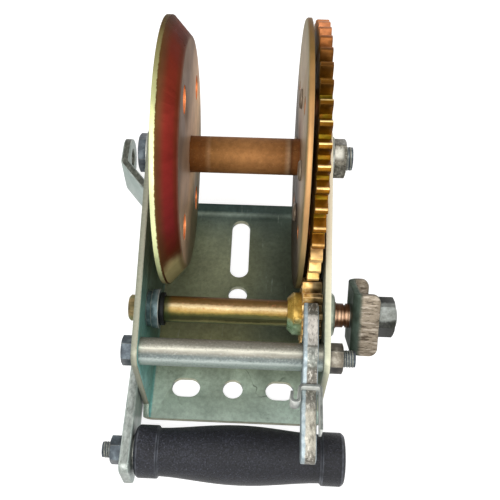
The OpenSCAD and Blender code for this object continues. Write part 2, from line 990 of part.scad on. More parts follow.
module grip_washer() {
    color("Silver")
    difference() {
        rod(arm_x1, arm_x1 + grip_washer_t, grip_washer_r, grip_y, grip_z);
        rod(arm_x1 - 1, arm_x1 + grip_washer_t + 1, grip_bolt_d / 2, grip_y, grip_z);
    }
}

module grip_nut() {
    color("LightSteelBlue")
    difference() {
        hex_body(arm_x0 - small_nut_h, arm_x0, small_af, grip_y, grip_z);
        rod(arm_x0 - small_nut_h - 1, arm_x0 + 1, grip_bolt_d / 2, grip_y, grip_z);
    }
}

// Radius of the grip between its collars, t from 0 to 1
function grip_bulge(t) = grip_neck_r + (grip_mid_r - grip_neck_r) * pow(sin(180 * t), 1.6);

module grip() {
    body = grip_l - 2 * grip_collar_l;
    steps = 16;
    head_x = grip_x1 - grip_head_sink - seat;
    color("DarkSlateGray")
        turned(concat(
            [
                [grip_bore_r, grip_x0],
                [grip_end_r - grip_ring, grip_x0],
                [grip_end_r, grip_x0 + grip_ring],
                [grip_end_r, grip_x0 + grip_collar_l]
            ],
            [
                for (i = [0:steps])
                    [grip_bulge(i / steps), grip_x0 + grip_collar_l + 0.6 + (body - 1.2) * i / steps]
            ],
            [
                [grip_end_r, grip_x1 - grip_collar_l],
                [grip_end_r, grip_x1 - grip_ring],
                [grip_end_r - grip_ring, grip_x1],
                [grip_sink_r, grip_x1],
                [grip_sink_r, head_x],
                [grip_bore_r, head_x]
            ]
        ), grip_y, grip_z);
}

frame();
axle_bolt();
axle_washers();
axle_nut();
spacer_tube();
spacer_bolt();
spacer_nut();
left_bush();
right_bush();
drum_core();
left_flange();
right_flange();
drum_gear();
gear_rivets();
drum_bushes();
drive_shaft();
pinion();
pinion_collar();
collar_pin();
thrust_washer();
shaft_clip();
crank_bracket();
bracket_nut();
pawl();
pawl_clip();
crank_arm();
grip_bolt();
grip_washer();
grip_nut();
grip();
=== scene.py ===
"""Hand winch, dressed: finishes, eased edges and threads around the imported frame. Metres."""

import json
import math

import bmesh
import bpy
import numpy as np
from mathutils import Matrix, Vector

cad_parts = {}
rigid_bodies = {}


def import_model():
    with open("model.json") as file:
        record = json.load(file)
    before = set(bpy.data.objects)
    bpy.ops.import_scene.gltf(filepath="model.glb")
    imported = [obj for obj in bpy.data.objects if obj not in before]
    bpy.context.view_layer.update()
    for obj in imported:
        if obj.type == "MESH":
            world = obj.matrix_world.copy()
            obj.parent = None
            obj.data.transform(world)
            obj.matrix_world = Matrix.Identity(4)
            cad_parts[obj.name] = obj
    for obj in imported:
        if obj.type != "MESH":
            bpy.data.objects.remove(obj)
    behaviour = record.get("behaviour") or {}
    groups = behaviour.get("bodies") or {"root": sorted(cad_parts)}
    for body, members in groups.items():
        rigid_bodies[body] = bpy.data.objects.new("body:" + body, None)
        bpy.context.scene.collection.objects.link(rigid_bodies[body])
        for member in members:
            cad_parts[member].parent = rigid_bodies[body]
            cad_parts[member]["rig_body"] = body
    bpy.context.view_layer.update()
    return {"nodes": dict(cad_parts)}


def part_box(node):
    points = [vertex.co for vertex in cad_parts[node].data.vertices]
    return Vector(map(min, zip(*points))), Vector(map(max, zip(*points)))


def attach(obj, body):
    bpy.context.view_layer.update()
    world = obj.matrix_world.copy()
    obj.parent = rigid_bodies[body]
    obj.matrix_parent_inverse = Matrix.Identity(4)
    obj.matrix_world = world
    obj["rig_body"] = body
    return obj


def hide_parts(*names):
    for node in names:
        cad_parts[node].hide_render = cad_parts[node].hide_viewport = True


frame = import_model()

MM = 0.001

# Camera, worked out from the photograph's perspective
CAMERA_PLACE = (12.38 * MM, -205.78 * MM, 377.41 * MM)
CAMERA_ELEVATION = 59.7
CAMERA_YAW = 3.6
CAMERA_ROLL = -1.0
FOCAL_PX = 729.2
IMAGE_PX = 500
AXIS_PX = (235.7, 290.4)
SENSOR_MM = 36.0

# Places in the frame, millimetres: axle, drive shaft, pawl pivot and grip in Y and Z, then the sheet,
# the gear, the pawl, and where pieces start in X
AXLE = (49.4, 81.2)
DRIVE = (-25.909, 47.513)
PIVOT = (-54.237, 55.743)
GRIP = (-91.4, 15.3)
HALF_WIDTH = 47.5
INNER_X = 44.5
SHEET_MM = HALF_WIDTH - INNER_X
FRONT_Y = -69.0
REAR_Y = 69.0
GEAR_TEETH = 44
GEAR_TIP = 68.25
LEVER_Y = -104.0
NOSE_Y = -30.0
BRACKET_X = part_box("crank_bracket")[0][0] / MM
DISH_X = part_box("left_flange")[0][0] / MM
PAWL_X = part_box("pawl")[0][0] / MM
NUT_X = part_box("axle_nut")[0][0] / MM


# Shader maths

class Value:
    """A socket. Python arithmetic on a number socket adds Math nodes."""

    def __init__(self, nodes, socket):
        self.nodes = nodes
        self.socket = socket

    def math(self, operation, *others):
        return self.nodes.node("ShaderNodeMath", {"operation": operation}, dict(enumerate((self, *others))))

    def __add__(self, other):
        return self.math("ADD", other)

    __radd__ = __add__

    def __sub__(self, other):
        return self.math("SUBTRACT", other)

    def __rsub__(self, other):
        return self.nodes.node("ShaderNodeMath", {"operation": "SUBTRACT"}, {0: other, 1: self})

    def __mul__(self, other):
        return self.math("MULTIPLY", other)

    __rmul__ = __mul__

    def __truediv__(self, other):
        return self.math("DIVIDE", other)

    def __abs__(self):
        return self.math("ABSOLUTE")

    def most(self, other):
        return self.math("MAXIMUM", other)

    def ramp(self, low, high, out_low=0.0, out_high=1.0):
        """Smooth step of this value from low to high."""
        ins = {"Value": self, 1: low, 2: high, 3: out_low, 4: out_high}
        return self.nodes.node("ShaderNodeMapRange", {"interpolation_type": "SMOOTHSTEP"}, ins)

    def band(self, low, high, soft):
        """One between low and high, falling off over soft on both sides."""
        return self.ramp(low - soft, low) * self.ramp(high, high + soft, 1.0, 0.0)


class Nodes:
    """A node tree."""

    def __init__(self, owner):
        owner.use_nodes = True
        self.tree = owner.node_tree
        self.tree.nodes.clear()

    def node(self, kind, settings=None, ins=None, out=0):
        """Adds any node: its type, its settings, then the values or links of its sockets. Gives one output,
        or a list where out is a list."""
        made = self.tree.nodes.new(kind)
        for name, setting in (settings or {}).items():
            if name == "stops":
                self.set_stops(made.color_ramp.elements, setting)
            else:
                setattr(made, name, setting)
        for key, value in (ins or {}).items():
            self.feed(made.inputs[key], value)
        if isinstance(out, list):
            return [Value(self, made.outputs[key]) for key in out]
        return Value(self, made.outputs[out]) if len(made.outputs) else made

    def feed(self, socket, value):
        if isinstance(value, Value):
            self.tree.links.new(value.socket, socket)
        elif socket.type == "RGBA":
            socket.default_value = (*value, 1.0)
        else:
            socket.default_value = value

    def set_stops(self, elements, stops):
        while len(elements) < len(stops):
            elements.new(1.0)
        for element, (spot, colour) in zip(elements, stops):
            element.position = spot
            element.color = (*srgb(*colour), 1.0)


class Finish(Nodes):
    """One material: a principled shader and the patterns that feed it."""

    def __init__(self, name):
        self.material = bpy.data.materials.new(name)
        super().__init__(self.material)
        self.place, self.normal = self.node("ShaderNodeTexCoord", out=["Object", "Normal"])

    def set(self, **sockets):
        """Ends the material with its principled shader: underscores in a socket's name stand for spaces."""
        ins = {name.replace("_", " "): value for name, value in sockets.items()}
        shader = self.node("ShaderNodeBsdfPrincipled", {}, ins)
        self.node("ShaderNodeOutputMaterial", {}, {0: shader})
        return self.material

    def mm(self):
        """Object coordinates X, Y, Z in millimetres."""
        scaled = self.node("ShaderNodeVectorMath", {"operation": "SCALE"}, {0: self.place, "Scale": 1000.0})
        return self.node("ShaderNodeSeparateXYZ", {}, {0: scaled}, [0, 1, 2])

    def facing(self):
        """X, Y and Z parts of the surface direction."""
        return self.node("ShaderNodeSeparateXYZ", {}, {0: self.normal}, [0, 1, 2])

    def round_axis(self, axis):
        """Distance from an axis along X in millimetres, and the turn about it from 0 to 1, 0 at the rear."""
        _, y, z = self.mm()
        off_y = y - axis[0]
        off_z = z - axis[1]
        radius = (off_y * off_y + off_z * off_z).math("SQRT")
        turn = (off_z.math("ARCTAN2", off_y) * (0.5 / math.pi) + 1.0).math("FRACT")
        return radius, turn

    def noise(self, size, detail=3.0, rough=0.55, stretch=(1, 1, 1)):
        """Cloudy pattern whose features are about size metres wide, longer where stretch is larger."""
        scale = tuple(1.0 / (size * part) for part in stretch)
        vector = self.node("ShaderNodeMapping", {}, {"Vector": self.place, "Scale": scale})
        ins = {"Vector": vector, "Scale": 1.0, "Detail": detail, "Roughness": rough}
        return self.node("ShaderNodeTexNoise", {}, ins)

    def dots(self, size, share):
        """One at scattered dots about size metres apart, share of that wide."""
        cells = self.node("ShaderNodeTexVoronoi", {}, {"Vector": self.place, "Scale": 1.0 / size})
        return cells.ramp(share, share * 0.5)

    def blend(self, share, first, second, mode="MIX"):
        settings = {"data_type": "RGBA", "blend_type": mode, "clamp_factor": True}
        return self.node("ShaderNodeMix", settings, {0: share, 6: first, 7: second}, 2)

    def tones(self, value, *stops):
        """Colour band: each stop is a place from 0 to 1 and a colour in eight-bit display values."""
        return self.node("ShaderNodeValToRGB", {"stops": stops}, {0: value})

    def bump(self, height, depth, strength=1.0):
        return self.node("ShaderNodeBump", {}, {"Height": height, "Distance": depth, "Strength": strength})

    def shaded(self, colour, amount, size=12 * MM):
        """The colour, lighter and darker by amount in soft clouds."""
        grey = self.noise(size, detail=4, rough=0.6).ramp(0.3, 0.7, 1.0 - amount, 1.0 + amount)
        level = self.node("ShaderNodeCombineXYZ", {}, {0: grey, 1: grey, 2: grey})
        return self.blend(1.0, colour, level, "MULTIPLY")


def srgb(red, green, blue):
    """Linear colour from eight-bit display values."""
    def linear(level):
        level = level / 255
        return level / 12.92 if level <= 0.04045 else ((level + 0.055) / 1.055) ** 2.4
    return (linear(red), linear(green), linear(blue))


def plate(f, colour, rough=0.36, metal=0.5, depth=0.02, tint=(0.6, 0.6, 0.6), sheen=0.5):
    """Ends a plated steel finish: fine speckle in the gloss, a shallow grain, tint as the reflection at a
    low angle, and sheen as how strong the clear reflection is."""
    speckle = f.noise(0.9 * MM, detail=3, rough=0.65)
    dull = f.noise(9 * MM, detail=3)
    return f.set(
        Base_Color=colour,
        Metallic=metal,
        Specular_Tint=tint,
        Specular_IOR_Level=sheen,
        Roughness=speckle * 0.16 + dull * 0.14 + (rough - 0.15),
        Normal=f.bump(speckle, depth * MM, 0.5),
    )


# Finishes

def sheet_finish():
    """Zinc sheet of the frame: sage floor with painted shade under the drum, between the tubes and to the
    right, a painted light patch at the front right and a painted highlight line at the rear bend; teal inner
    left side, darker towards the rear as painted shade; sheared edges with a darker middle; fine scuffs along
    the sheet."""
    f = Finish("zinc_sheet")
    x, y, z = f.mm()
    side, fore, up = f.facing()
    # painted shade: the floor darkens between the tubes and under the drum; a painted highlight line and a
    # painted dark band at the rear bend
    floor_tone = f.tones(
        (y - FRONT_Y) / (REAR_Y + 6.0 - FRONT_Y),
        (0.0, (168, 185, 170)), (0.13, (165, 181, 163)), (0.2, (144, 158, 138)), (0.34, (120, 121, 86)),
        (0.42, (112, 114, 82)), (0.52, (132, 138, 108)), (0.68, (144, 150, 118)), (0.8, (134, 142, 114)),
        (0.935, (90, 106, 96)), (0.953, (158, 176, 164)), (0.965, (72, 92, 88)), (1.0, (64, 84, 82)),
    )
    # painted light: a lighter patch at the front right
    lit = x.ramp(0.0, 34.0) * y.ramp(-50.0, -58.0) * 0.7
    floor_tone = f.blend(lit, floor_tone, srgb(190, 210, 196))
    # painted shade over the right half behind the front tubes
    shade = x.ramp(-12.0, 24.0) * y.ramp(-32.0, -16.0) * 0.75
    floor_tone = f.blend(shade, floor_tone, srgb(54, 66, 57))
    # teal of the inner left side, darker towards the rear as painted shade
    teal = f.tones(
        (y - FRONT_Y) / 60.0,
        (0.0, (140, 206, 202)), (0.3, (124, 180, 172)), (0.6, (98, 140, 128)), (1.0, (104, 126, 112)),
    )
    grey_side = f.tones((z - 5.0) / 80.0, (0.0, (128, 142, 134)), (1.0, (150, 158, 142)))
    colour = f.blend(up.ramp(0.3, 0.75), grey_side, floor_tone)
    colour = f.blend(side.ramp(0.3, 0.75) * x.ramp(-40.0, -43.0), colour, teal)
    colour = f.shaded(f.shaded(colour, 0.16, 20 * MM), 0.14, 2 * MM)
    scuffs = f.noise(1.6 * MM, detail=4, rough=0.7, stretch=(1, 9, 9))
    colour = f.blend(scuffs.ramp(0.6, 0.78) * 0.3, colour, srgb(190, 202, 188))
    stains = f.noise(5 * MM, detail=5, rough=0.7)
    colour = f.blend(stains.ramp(0.58, 0.74) * 0.45, colour, srgb(70, 78, 62))
    hair = abs(f.noise(24 * MM, detail=3) - 0.5).ramp(0.012, 0.004)
    hair = hair * f.noise(20 * MM, detail=2).ramp(0.5, 0.6) * y.band(-62.0, -40.0, 3.0)
    colour = f.blend(hair * 0.6, colour, srgb(58, 66, 54))
    on_plate = abs(x).ramp(INNER_X - 0.4, INNER_X - 0.1) * abs(side).ramp(0.75, 0.45) * z.ramp(7.0, 9.0)
    on_front = fore.ramp(-0.45, -0.75) * z.ramp(4.5, 3.6)
    shear = f.noise(1.4 * MM, detail=3, stretch=(3, 1, 1))
    lip = f.tones(shear, (0.3, (150, 152, 128)), (0.55, (180, 180, 153)), (0.75, (202, 201, 174)))
    ragged = shear * 0.6 - 0.3
    left_cut = f.tones(
        (x + HALF_WIDTH) / SHEET_MM + ragged,
        (0.1, (126, 128, 112)), (0.75, (164, 164, 144)), (1.0, (136, 138, 120)),
    )
    right_cut = f.tones(
        (x - INNER_X) / SHEET_MM + ragged,
        (0.0, (148, 152, 134)), (0.4, (186, 188, 162)), (0.9, (216, 214, 188)),
    )
    right_cut = f.blend(z.ramp(64.0, 88.0) * 0.7, right_cut, srgb(244, 228, 200))
    colour = f.blend(on_front, colour, lip)
    colour = f.blend(on_plate, colour, f.blend(x.ramp(-1.0, 1.0), left_cut, right_cut))
    return plate(f, colour, rough=0.44, metal=0.3, depth=0.025)


def hole_walls(side, radius):
    """One on the walls of a flange's holes, inside its rim."""
    return abs(side).ramp(0.5, 0.25) * radius.ramp(56.0, 54.0)


def left_flange_finish():
    """Passivated dish: pale yellow cut rim, brown and magenta slope turning olive below, grey mauve flat with
    a painted highlight across its upper part, darker low down.
    """
    f = Finish("iridescent_dish")
    radius, turn = f.round_axis(AXLE)
    x, _, z = f.mm()
    side, _, _ = f.facing()
    wander = f.noise(24 * MM, detail=3) * 0.08 - 0.04
    slope = f.tones(
        turn + wander,
        (0.0, (130, 66, 34)), (0.2, (102, 42, 20)), (0.28, (114, 42, 28)), (0.38, (132, 42, 38)),
        (0.465, (128, 42, 42)), (0.51, (104, 50, 28)), (0.54, (206, 194, 140)), (0.75, (186, 172, 120)),
        (1.0, (130, 66, 34)),
    )
    brown = f.blend(radius.band(58.5, 60.0, 2.2) * 0.55, slope, srgb(96, 54, 30))
    brown = f.blend(radius.ramp(64.5, 68.5) * turn.ramp(0.53, 0.5) * 0.8, brown, srgb(88, 62, 38))
    # painted highlight across the upper part of the flat, darker low down
    flat = f.tones(
        (z - 20.0) / 120.0 + f.noise(26 * MM, detail=3) * 0.2 - 0.1,
        (0.0, (112, 112, 84)), (0.25, (150, 140, 108)), (0.42, (250, 216, 180)), (0.6, (236, 206, 176)),
        (0.8, (158, 140, 124)),
    )
    colour = f.blend(radius.ramp(57.4, 60.2), flat, brown)
    rim = f.tones(
        turn,
        (0.2, (104, 86, 50)), (0.27, (150, 146, 100)), (0.33, (204, 208, 152)), (0.42, (228, 234, 178)),
        (0.52, (222, 226, 168)), (0.58, (168, 150, 110)), (0.7, (140, 110, 76)),
    )
    ragged = f.noise(2.2 * MM, detail=4, rough=0.7) * 1.6 - 0.8
    rim = f.blend((x + ragged).ramp(DISH_X + 2.0, DISH_X + 2.6), rim, srgb(92, 62, 34))
    colour = f.blend(radius.ramp(68.5, 68.75), colour, rim)
    colour = f.blend(hole_walls(side, radius), colour, srgb(226, 134, 82))
    return plate(f, f.shaded(colour, 0.1), rough=0.46, metal=0.6, tint=(0.14, 0.08, 0.06), sheen=0.15)


def right_flange_finish():
    """Flat passivated disc: grey mauve face, olive towards the rim and dark below as painted shade, gold
    brown edge.
    """
    f = Finish("mauve_disc")
    radius, turn = f.round_axis(AXLE)
    _, _, z = f.mm()
    side, _, _ = f.facing()
    face = f.tones(
        radius / 69.0 + f.noise(16 * MM, detail=3) * 0.2 - 0.1,
        (0.2, (150, 116, 88)), (0.55, (196, 178, 152)), (0.8, (184, 168, 140)), (0.98, (152, 140, 104)),
    )
    # painted shade: the face darkens below
    face = f.blend(z.ramp(94.0, 64.0) * 0.9, face, srgb(54, 42, 30))
    edge = f.tones(
        turn,
        (0.1, (120, 92, 52)), (0.24, (132, 102, 56)), (0.31, (176, 134, 86)), (0.42, (182, 140, 94)),
        (0.52, (120, 112, 76)), (0.7, (110, 96, 62)),
    )
    colour = f.blend(abs(side).ramp(0.9, 0.55), face, edge)
    colour = f.blend(hole_walls(side, radius), colour, srgb(190, 108, 64))
    return plate(f, f.shaded(colour, 0.12), rough=0.44, tint=(0.2, 0.16, 0.12), sheen=0.25)


def tooth_offset():
    """Where the gear's lands lie: the share of a tooth by which their middles are off whole teeth."""
    mesh = frame["nodes"]["drum_gear"].data
    spots = np.empty(3 * len(mesh.vertices))
    mesh.vertices.foreach_get("co", spots)
    _, y, z = spots.reshape(-1, 3).T / MM
    arms = (y - AXLE[0]) + 1j * (z - AXLE[1])
    tips = arms[np.abs(arms) > GEAR_TIP - 0.02]
    return float(np.angle(np.sum((tips / np.abs(tips)) ** GEAR_TEETH)) / (2 * np.pi))


def gear_finish():
    """Passivated teeth: copper pink on top, olive brown in front, gold below, with green flecks; lighter and
    darker round the gear as painted light, with a painted bright gold reflection low in front. A painted
    highlight runs along the upper half of each land as a bright gold line, with painted shade on the lower
    half and below it."""
    f = Finish("gold_teeth")
    radius, turn = f.round_axis(AXLE)
    side, _, _ = f.facing()
    tooth = (turn * GEAR_TEETH + (1.5 - tooth_offset())).math("FRACT")
    # painted light: the tone changes round the gear, with a painted bright gold reflection low in front
    gap_with_painted_light = f.tones(
        turn,
        (0.0, (170, 118, 74)), (0.17, (190, 122, 82)), (0.215, (130, 78, 40)), (0.245, (86, 51, 14)),
        (0.3, (98, 60, 4)), (0.34, (112, 70, 6)), (0.4, (120, 76, 8)), (0.455, (128, 80, 16)),
        (0.472, (140, 92, 40)), (0.49, (244, 204, 140)), (0.53, (230, 186, 108)), (0.6, (180, 140, 60)),
    )
    green = abs(tooth - 0.5).ramp(0.3, 0.46) * f.noise(4 * MM, detail=3).ramp(0.35, 0.6)
    gap_with_painted_light = f.blend(green * turn.band(0.2, 0.46, 0.02) * 0.5, gap_with_painted_light, srgb(92, 94, 6))
    # painted highlight: bright gold for the upper half of each land
    painted_highlight = f.tones(
        turn,
        (0.0, (190, 140, 92)), (0.17, (222, 178, 150)), (0.21, (190, 122, 84)), (0.245, (120, 78, 36)),
        (0.29, (120, 82, 24)), (0.32, (250, 220, 146)), (0.38, (252, 204, 134)), (0.43, (222, 180, 118)),
        (0.47, (196, 150, 84)), (0.52, (248, 210, 140)), (0.6, (190, 150, 80)),
    )
    on_land = radius.ramp(GEAR_TIP - 0.9, GEAR_TIP - 0.4)
    line = tooth.band(0.33, 0.43, 0.03) * on_land
    # painted shade on the lower half of each land and below it
    painted_land_shade = tooth.ramp(0.5, 0.66) * tooth.ramp(0.84, 0.66) * turn.band(0.25, 0.47, 0.01)
    gap_with_painted_light = f.blend(painted_land_shade * 0.7, gap_with_painted_light, srgb(48, 26, 4))
    colour = f.blend(line, gap_with_painted_light, painted_highlight)
    clouds = f.noise(18 * MM, detail=4)
    face = f.tones(clouds, (0.3, (128, 90, 38)), (0.5, (150, 110, 54)), (0.7, (138, 112, 62)))
    colour = f.blend(abs(side).ramp(0.6, 0.9), colour, face)
    flecks = f.noise(1.3 * MM, detail=4, rough=0.75)
    colour = f.blend(flecks.ramp(0.6, 0.8) * 0.35, colour, srgb(196, 150, 60))
    return plate(f, f.shaded(colour, 0.22, 3 * MM), rough=0.36, depth=0.05, tint=(0.4, 0.3, 0.16))


def core_finish():
    """Copper brown core tube: fine turned texture, darker beside the left flange as painted shade, a pale
    line beside a dark one near the right end.
    """
    f = Finish("copper_core")
    x, _, _ = f.mm()
    # painted shade beside the left flange; a pale line beside a dark one near the right end
    along = f.tones(
        (x + 27.0) / 58.0,
        (0.0, (110, 66, 28)), (0.15, (118, 74, 36)), (0.19, (144, 106, 70)), (0.215, (134, 92, 50)),
        (0.5, (150, 104, 60)), (0.86, (144, 98, 56)), (0.9, (162, 130, 98)), (0.925, (92, 58, 32)),
        (0.95, (126, 80, 42)),
    )
    colour = f.shaded(along, 0.14, 3 * MM)
    turned = f.noise(0.9 * MM, detail=4, rough=0.75)
    colour = f.blend(turned.ramp(0.55, 0.75) * 0.35, colour, srgb(204, 156, 104))
    colour = f.blend(turned.ramp(0.45, 0.3) * 0.4, colour, srgb(92, 54, 28))
    return plate(f, colour, rough=0.56, metal=0.35, depth=0.06, tint=(0.5, 0.35, 0.22))


def shaft_finish():
    """Drive shaft: brown, cream gold and olive bands along it that paint light and shade round it, with a
    painted highlight band; copper neck, dark with a painted highlight band; blue grey thread.
    """
    f = Finish("gold_shaft")
    x, _, _ = f.mm()
    _, turn = f.round_axis(DRIVE)
    streaks = f.noise(6 * MM, detail=3, stretch=(4, 1, 1))
    speckle = f.noise(1.3 * MM, detail=4, rough=0.7, stretch=(1.6, 1, 1))
    # painted light round the shaft: dark brown on top, a painted cream highlight band, dark olive and green
    # below as painted shade
    gold = f.tones(
        turn + streaks * 0.06 + speckle * 0.05 - 0.055,
        (0.06, (70, 48, 24)), (0.18, (108, 78, 36)), (0.22, (106, 82, 46)), (0.25, (132, 104, 66)),
        (0.28, (214, 188, 144)), (0.3, (226, 204, 156)), (0.32, (176, 148, 98)), (0.35, (140, 114, 58)),
        (0.38, (78, 76, 36)), (0.41, (56, 60, 36)), (0.46, (64, 64, 36)), (0.495, (128, 122, 76)),
        (0.515, (84, 92, 58)), (0.57, (90, 92, 56)), (0.97, (84, 66, 34)),
    )
    gold = f.blend(speckle.ramp(0.56, 0.72) * turn.ramp(0.36, 0.3) * 0.4, gold, srgb(196, 112, 74))
    gold = f.blend(speckle.ramp(0.46, 0.32) * turn.band(0.31, 0.36, 0.03) * 0.4, gold, srgb(112, 122, 36))
    gold = f.blend(x.ramp(-31.0, -34.5) * 0.85, gold, srgb(52, 64, 36))
    # copper neck: dark, with a painted pale highlight band
    copper = f.tones(streaks, (0.3, (168, 118, 84)), (0.6, (240, 198, 164)))
    copper = f.blend(turn.band(0.31, 0.36, 0.06), srgb(88, 56, 34), copper)
    rings = abs((x / 1.7).math("FRACT") - 0.5).ramp(0.2, 0.42)
    copper = f.blend(rings * 0.75, copper, srgb(64, 38, 22))
    thread = f.tones(streaks, (0.3, (104, 110, 108)), (0.7, (150, 154, 148)))
    stub = f.tones(streaks, (0.35, (84, 76, 48)), (0.5, (140, 122, 84)), (0.65, (104, 110, 72)))
    colour = f.blend(x.ramp(49.0, 51.0), gold, copper)
    colour = f.blend(x.ramp(BRACKET_X - 0.4, BRACKET_X), colour, thread)
    colour = f.blend(x.ramp(-46.0, -47.5), colour, stub)
    return plate(f, f.shaded(colour, 0.1, 5 * MM), rough=0.4, metal=0.4, tint=(0.5, 0.42, 0.3))


def tube_finish():
    """Drawn zinc tube: painted light round it, a painted bright highlight line between brownish bands above,
    a painted bluish highlight below, fine drawn grain.
    """
    f = Finish("drawn_tube")
    _, turn = f.round_axis(PIVOT)
    grain = f.noise(0.8 * MM, detail=5, rough=0.7, stretch=(1.4, 1, 1))
    drawn = f.noise(1.6 * MM, detail=3, stretch=(7, 1, 1))
    # painted light: dark on top, a painted highlight line, a darker band, a painted bluish highlight lower
    # down
    colour = f.tones(
        turn + grain * 0.03 + drawn * 0.04 - 0.035,
        (0.05, (104, 102, 90)), (0.18, (124, 121, 109)), (0.23, (132, 130, 118)), (0.255, (168, 165, 151)),
        (0.28, (224, 221, 204)), (0.305, (164, 161, 147)), (0.33, (130, 128, 117)), (0.36, (102, 110, 106)),
        (0.385, (116, 126, 124)), (0.42, (180, 190, 184)), (0.45, (144, 156, 150)), (0.5, (146, 160, 150)),
        (0.6, (134, 144, 142)), (0.75, (118, 128, 126)), (0.97, (104, 102, 90)),
    )
    colour = f.blend(grain.ramp(0.5, 0.72) * 0.3, colour, srgb(206, 206, 198))
    colour = f.blend(grain.ramp(0.5, 0.3) * 0.4, colour, srgb(84, 84, 76))
    return plate(f, colour, rough=0.48, metal=0.35, depth=0.05)


def tinted(name, dark, mid, light, rough=0.34, metal=0.4, size=5 * MM, shade=0.0):
    """Plain plated steel in three tones of soft clouds with a little fine wear; shade is how much darker it
    is painted wherever it doesn't face up, as painted shade.
    """
    f = Finish(name)
    clouds = f.noise(size, detail=4, rough=0.6)
    colour = f.tones(clouds, (0.32, dark), (0.5, mid), (0.68, light))
    wear = f.noise(1.2 * MM, detail=4, rough=0.75)
    colour = f.blend(wear.ramp(0.6, 0.8) * 0.3, colour, srgb(*light))
    # painted shade on every side that doesn't face up
    if shade:
        _, _, up = f.facing()
        colour = f.blend(up.ramp(0.92, 0.6) * shade, colour, (0.01, 0.01, 0.01))
    return plate(f, colour, rough=rough, metal=metal)


def pinion_finish():
    """Gold copper pinion, darker towards the right side plate as painted shadow."""
    f = Finish("copper_pinion")
    x, _, _ = f.mm()
    clouds = f.noise(3 * MM, detail=4, rough=0.6)
    gold = f.tones(clouds, (0.32, (150, 102, 46)), (0.5, (212, 170, 98)), (0.68, (242, 212, 152)))
    # painted shadow over the pinion's right part
    painted_shadow = f.tones(clouds, (0.35, (44, 36, 22)), (0.65, (92, 76, 46)))
    colour = f.blend((x + clouds * 3.0 - 1.5).ramp(37.5, 40.0) * 0.9, gold, painted_shadow)
    return plate(f, colour, rough=0.36, metal=0.4, depth=0.04)


def collar_finish():
    """Collar: gold above like the shaft, lighter pale green below."""
    f = Finish("green_collar")
    _, turn = f.round_axis(DRIVE)
    clouds = f.noise(4 * MM, detail=4, rough=0.6)
    gold = f.tones(clouds, (0.32, (150, 118, 46)), (0.68, (200, 168, 84)))
    green = f.tones(clouds, (0.32, (104, 132, 96)), (0.68, (172, 198, 160)))
    below = (turn + clouds * 0.08 - 0.04).ramp(0.36, 0.42)
    return plate(f, f.blend(below, gold, green), rough=0.3, metal=0.4)


def axle_nut_finish():
    """Axle nut: grey with mottled dirt, and a soft white painted highlight on its upper front facets that
    stops short of the outer end.
    """
    f = Finish("pale_zinc")
    x, _, _ = f.mm()
    _, turn = f.round_axis(AXLE)
    dirt_and_shade = f.noise(1.6 * MM, detail=4, rough=0.7)
    grey = f.tones(dirt_and_shade, (0.32, (62, 58, 48)), (0.5, (104, 100, 88)), (0.68, (160, 156, 142)))
    # painted highlight: a soft white patch on the upper front facets, stopping short of the outer end
    pale_tone = f.tones(dirt_and_shade, (0.32, (178, 176, 164)), (0.6, (218, 216, 204)))
    painted_highlight = (turn + dirt_and_shade * 0.06 - 0.03).band(0.295, 0.34, 0.045)
    painted_highlight = painted_highlight * (x + dirt_and_shade * 2.0).ramp(NUT_X + 6.6, NUT_X + 4.6)
    return plate(f, f.blend(painted_highlight, grey, pale_tone), rough=0.34, metal=0.4)


def oily_and_shaded_nut_finish():
    """Grey nut with a pale upper side, black below and towards the rear: painted shade mixed with oily dirt.
    """
    f = Finish("oily_and_shaded_nut")
    _, turn = f.round_axis(DRIVE)
    clouds = f.noise(4 * MM, detail=4, rough=0.6)
    pale_tone = f.tones(clouds, (0.35, (98, 100, 94)), (0.65, (146, 150, 145)))
    dirt_and_shade = f.tones(f.noise(1.2 * MM, detail=4, rough=0.7), (0.35, (16, 17, 13)), (0.65, (46, 47, 40)))
    # painted shade mixed with oily dirt below and towards the rear
    below = (turn + clouds * 0.1 - 0.05).ramp(0.345, 0.385).most((turn + clouds * 0.06).ramp(0.24, 0.2))
    return plate(f, f.blend(below, pale_tone, dirt_and_shade), rough=0.4, metal=0.4)


def spring_finish():
    """Bright spring strip: greyer where it faces up as painted shade, pale on its sides as a painted
    highlight.
    """
    f = Finish("bright_spring")
    _, _, up = f.facing()
    clouds = f.noise(3 * MM, detail=4, rough=0.6)
    # painted light by facing: darker on top as painted shade, a painted pale highlight on the sides
    top = f.tones(clouds, (0.35, (94, 98, 94)), (0.65, (134, 138, 133)))
    flank = f.tones(clouds, (0.35, (206, 209, 203)), (0.65, (238, 239, 233)))
    return plate(f, f.blend(up.ramp(0.4, 0.8), flank, top), rough=0.34, metal=0.4)


def bracket_finish():
    """Bent bracket: dark green grey web, brownish legs with forming marks across them."""
    f = Finish("formed_bracket")
    x, _, _ = f.mm()
    side, _, _ = f.facing()
    web = f.tones(f.noise(7 * MM, detail=4), (0.3, (60, 70, 60)), (0.7, (90, 104, 94)))
    leg = f.tones(f.noise(4 * MM, detail=4), (0.3, (112, 102, 88)), (0.7, (140, 129, 113)))
    marks = f.noise(1.5 * MM, detail=3, rough=0.7, stretch=(5, 1, 1))
    leg = f.blend(marks.ramp(0.52, 0.62), leg, srgb(164, 154, 140))
    leg = f.blend(marks.ramp(0.46, 0.37) * 0.8, leg, srgb(58, 49, 40))
    bend = x.ramp(BRACKET_X + 2.4, BRACKET_X + 5.0)
    colour = f.blend(bend * abs(side).ramp(0.9, 0.5), web, leg)
    speckle = f.noise(0.9 * MM, detail=3)
    height = marks * bend + speckle * 0.2
    return f.set(
        Base_Color=f.shaded(colour, 0.1, 5 * MM), Metallic=0.5, Specular_Tint=(0.3, 0.3, 0.27),
        Specular_IOR_Level=0.15,
        Roughness=speckle * 0.2 + 0.36, Normal=f.bump(height, 0.35 * MM, 0.8),
    )


